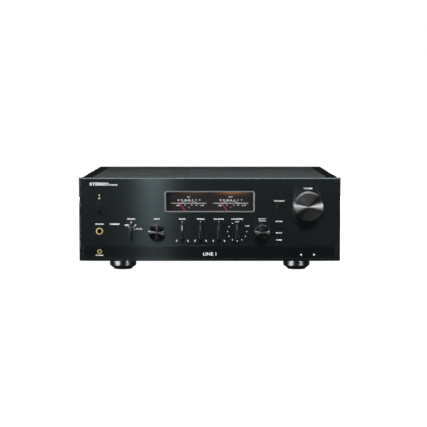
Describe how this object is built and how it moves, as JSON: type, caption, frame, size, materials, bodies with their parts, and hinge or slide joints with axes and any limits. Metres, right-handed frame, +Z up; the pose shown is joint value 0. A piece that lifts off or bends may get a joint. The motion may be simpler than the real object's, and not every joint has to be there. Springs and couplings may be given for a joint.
{
  "type": "stereo receiver",
  "caption": "Full-size stereo receiver with a black metal front, twin needle meters, rotary and lever controls, display strip, cylindrical feet and rear speaker terminals.",
  "frame": {"origin": "centre of the overall footprint, on the surface the feet stand on", "axes": "+Z up, +X to the right as seen from the front, the front panel faces -Y"},
  "size_m": [0.435, 0.473, 0.157],
  "materials": {
    "panel_black": "hairline black anodised",
    "gloss_black": "piano gloss",
    "sheet_black": "fine textured paint",
    "zinc_sheet": "zinc plated",
    "knob_metal": "spun black anodised",
    "shaft_steel": "turned",
    "foot_chrome": "polished",
    "pad_rubber": "matt",
    "black_plastic": "matt",
    "gold_ring": "gold plated",
    "bezel_silver": "satin",
    "clear_glass": "clear",
    "card_dark": "matt print",
    "needle_red": "satin",
    "smoked_window": "gloss smoked",
    "lens_white": "translucent",
    "board_green": "solder mask",
    "copper_wind": "taped winding",
    "can_black": "sleeved",
    "fin_black": "anodised",
    "screw_black": "black plated",
    "ground_plate": "plated"
  },
  "bodies": {
    "chassis": {"front_panel": "panel_black", "front_subframe": "zinc_sheet", "top_cover": "sheet_black", "side_panel_left": "gloss_black", "side_panel_right": "gloss_black", "bottom_chassis": "sheet_black", "rear_panel": "sheet_black", "cover_screws": "screw_black", "feet": "foot_chrome", "foot_pads": "pad_rubber", "foot_screws": "screw_black", "rotary_controls": "black_plastic", "power_switch": "black_plastic", "switch_board": "board_green", "phones_jack": "gold_ring", "mic_jack": "gold_ring", "power_lens": "lens_white", "meter_bezel": "bezel_silver", "meter_glass": "clear_glass", "meter_scales": "card_dark", "meter_movements": "black_plastic", "display_window": "smoked_window", "display_module": "black_plastic", "speaker_terminal_base": "black_plastic", "phono_sockets": "gold_ring", "digital_sockets": "ground_plate", "mains_inlet": "black_plastic", "mains_transformer": "copper_wind", "main_board": "board_green", "heat_sink": "fin_black", "capacitors": "can_black"},
    "volume": {"volume_knob": "knob_metal", "volume_shaft": "shaft_steel"},
    "input": {"input_knob": "knob_metal", "input_shaft": "shaft_steel"},
    "select_push": {"select_shaft": "shaft_steel"},
    "select_turn": {"select_knob": "knob_metal"},
    "bass_knob": {"bass_knob": "knob_metal"},
    "treble_knob": {"treble_knob": "knob_metal"},
    "balance_knob": {"balance_knob": "knob_metal"},
    "loudness_knob": {"loudness_knob": "knob_metal"},
    "speakers_knob": {"speakers_knob": "knob_metal"},
    "power_lever": {"power_lever": "knob_metal"},
    "dimmer_button": {"dimmer_button": "knob_metal"},
    "return_button": {"return_button": "knob_metal"},
    "home_button": {"home_button": "knob_metal"},
    "mode_button": {"mode_button": "knob_metal"},
    "direct_button": {"direct_button": "knob_metal"},
    "needle_left": {"needle_left": "needle_red"},
    "needle_right": {"needle_right": "needle_red"},
    "antenna_base": {"antenna_base": "black_plastic"},
    "antenna_whip": {"antenna_whip": "black_plastic"},
    "terminal_cap_1": {"terminal_cap_1": "black_plastic"},
    "terminal_cap_2": {"terminal_cap_2": "black_plastic"},
    "terminal_cap_3": {"terminal_cap_3": "black_plastic"},
    "terminal_cap_4": {"terminal_cap_4": "black_plastic"},
    "terminal_cap_5": {"terminal_cap_5": "black_plastic"},
    "terminal_cap_6": {"terminal_cap_6": "black_plastic"},
    "terminal_cap_7": {"terminal_cap_7": "black_plastic"},
    "terminal_cap_8": {"terminal_cap_8": "black_plastic"}
  },
  "joints": [
    {"name": "volume_turn", "type": "hinge", "parent": "chassis", "child": "volume", "pos_m": [0.1633, -0.2085, 0.1103], "axis": [0, 1, 0], "continuous": true},
    {"name": "input_turn", "type": "hinge", "parent": "chassis", "child": "input", "pos_m": [-0.0877, -0.2085, 0.0675], "axis": [0, 1, 0], "continuous": true},
    {"name": "select_press", "type": "slide", "parent": "chassis", "child": "select_push", "axis": [0, 1, 0], "range_m": [0, 0.001], "stiffness_N_per_m": 600},
    {"name": "select_turn", "type": "hinge", "parent": "select_push", "child": "select_turn", "pos_m": [0.0877, -0.2085, 0.0675], "axis": [0, 1, 0], "continuous": true},
    {"name": "bass_turn", "type": "hinge", "parent": "chassis", "child": "bass_knob", "pos_m": [-0.04575, -0.2085, 0.0675], "axis": [0, 1, 0], "range_deg": [-150, 150]},
    {"name": "treble_turn", "type": "hinge", "parent": "chassis", "child": "treble_knob", "pos_m": [-0.01525, -0.2085, 0.0675], "axis": [0, 1, 0], "range_deg": [-150, 150]},
    {"name": "balance_turn", "type": "hinge", "parent": "chassis", "child": "balance_knob", "pos_m": [0.01525, -0.2085, 0.0675], "axis": [0, 1, 0], "range_deg": [-150, 150]},
    {"name": "loudness_turn", "type": "hinge", "parent": "chassis", "child": "loudness_knob", "pos_m": [0.04575, -0.2085, 0.0675], "axis": [0, -1, 0], "range_deg": [0, 300]},
    {"name": "speakers_turn", "type": "hinge", "parent": "chassis", "child": "speakers_knob", "pos_m": [-0.1308, -0.2085, 0.0675], "axis": [0, 1, 0], "range_deg": [-30, 60]},
    {"name": "power_tilt", "type": "hinge", "parent": "chassis", "child": "power_lever", "pos_m": [-0.1835, -0.1935, 0.1105], "axis": [-1, 0, 0], "range_deg": [0, 10]},
    {"name": "dimmer_press", "type": "slide", "parent": "chassis", "child": "dimmer_button", "axis": [0, 1, 0], "range_m": [0, 0.0008], "stiffness_N_per_m": 400},
    {"name": "return_press", "type": "slide", "parent": "chassis", "child": "return_button", "axis": [0, 1, 0], "range_m": [0, 0.0008], "stiffness_N_per_m": 400},
    {"name": "mode_press", "type": "slide", "parent": "chassis", "child": "mode_button", "axis": [0, 1, 0], "range_m": [0, 0.0008], "stiffness_N_per_m": 400},
    {"name": "home_press", "type": "slide", "parent": "chassis", "child": "home_button", "axis": [0, 1, 0], "range_m": [0, 0.0008], "stiffness_N_per_m": 400},
    {"name": "direct_press", "type": "slide", "parent": "chassis", "child": "direct_button", "axis": [0, 1, 0], "range_m": [0, 0.0008], "stiffness_N_per_m": 400},
    {"name": "needle_left_swing", "type": "hinge", "parent": "chassis", "child": "needle_left", "pos_m": [-0.035, -0.2026, 0.0934], "axis": [0, 1, 0], "range_deg": [0, 72], "stiffness_Nm_per_rad": 0.0002},
    {"name": "needle_right_swing", "type": "hinge", "parent": "chassis", "child": "needle_right", "pos_m": [0.035, -0.2026, 0.0934], "axis": [0, 1, 0], "range_deg": [0, 72], "stiffness_Nm_per_rad": 0.0002},
    {"name": "terminal_cap_1_turn", "type": "hinge", "parent": "chassis", "child": "terminal_cap_1", "pos_m": [-0.14, 0.2265, 0.062], "axis": [0, 1, 0], "range_deg": [0, 720]},
    {"name": "terminal_cap_2_turn", "type": "hinge", "parent": "chassis", "child": "terminal_cap_2", "pos_m": [-0.11, 0.2265, 0.062], "axis": [0, 1, 0], "range_deg": [0, 720]},
    {"name": "terminal_cap_3_turn", "type": "hinge", "parent": "chassis", "child": "terminal_cap_3", "pos_m": [-0.08, 0.2265, 0.062], "axis": [0, 1, 0], "range_deg": [0, 720]},
    {"name": "terminal_cap_4_turn", "type": "hinge", "parent": "chassis", "child": "terminal_cap_4", "pos_m": [-0.05, 0.2265, 0.062], "axis": [0, 1, 0], "range_deg": [0, 720]},
    {"name": "terminal_cap_5_turn", "type": "hinge", "parent": "chassis", "child": "terminal_cap_5", "pos_m": [-0.14, 0.2265, 0.096], "axis": [0, 1, 0], "range_deg": [0, 720]},
    {"name": "terminal_cap_6_turn", "type": "hinge", "parent": "chassis", "child": "terminal_cap_6", "pos_m": [-0.11, 0.2265, 0.096], "axis": [0, 1, 0], "range_deg": [0, 720]},
    {"name": "terminal_cap_7_turn", "type": "hinge", "parent": "chassis", "child": "terminal_cap_7", "pos_m": [-0.08, 0.2265, 0.096], "axis": [0, 1, 0], "range_deg": [0, 720]},
    {"name": "terminal_cap_8_turn", "type": "hinge", "parent": "chassis", "child": "terminal_cap_8", "pos_m": [-0.05, 0.2265, 0.096], "axis": [0, 1, 0], "range_deg": [0, 720]},
    {"name": "antenna_swivel", "type": "hinge", "parent": "chassis", "child": "antenna_base", "pos_m": [0.15, 0.2185, 0.142], "axis": [0, 1, 0], "range_deg": [0, 180]},
    {"name": "antenna_fold", "type": "hinge", "parent": "antenna_base", "child": "antenna_whip", "pos_m": [0.15, 0.23, 0.142], "axis": [0, 0, -1], "range_deg": [0, 90]}
  ]
}
